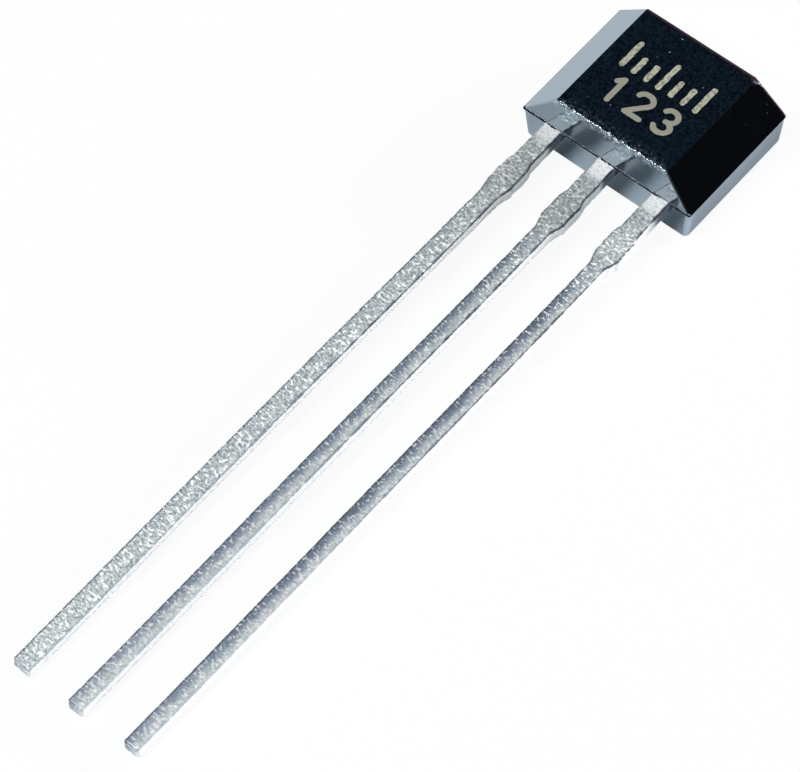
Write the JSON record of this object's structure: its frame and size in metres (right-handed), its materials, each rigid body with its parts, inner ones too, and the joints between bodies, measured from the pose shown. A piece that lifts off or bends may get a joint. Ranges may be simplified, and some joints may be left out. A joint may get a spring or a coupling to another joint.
{
  "type": "hall effect sensor",
  "caption": "Magnetic field sensor in a small flat moulded package with bevelled sides and long straight in-line leads.",
  "frame": {"origin": "centre of the moulded package's flat back face", "axes": "+Z out of the marked, bevelled face; +Y from the leads towards the package's far end, so the leads run along -Y; +X across the row of leads from the supply lead to the output lead"},
  "size_m": [0.004, 0.0177, 0.0015],
  "materials": {
    "moulding_compound": "near-black epoxy moulding compound, smooth with a very fine grain",
    "plated_lead": "matt tin plating over stamped copper alloy, finely pebbled",
    "silicon": "polished silicon, dark grey",
    "chip_adhesive": "silver-filled epoxy, pale grey",
    "gold_wire": "bare gold wire"
  },
  "bodies": {
    "root": {"moulded_body": "moulding_compound", "supply_lead": "plated_lead", "ground_lead": "plated_lead", "output_lead": "plated_lead", "sensor_chip": "silicon", "chip_adhesive": "chip_adhesive", "supply_wire": "gold_wire", "ground_wire": "gold_wire", "output_wire": "gold_wire"}
  },
  "joints": []
}
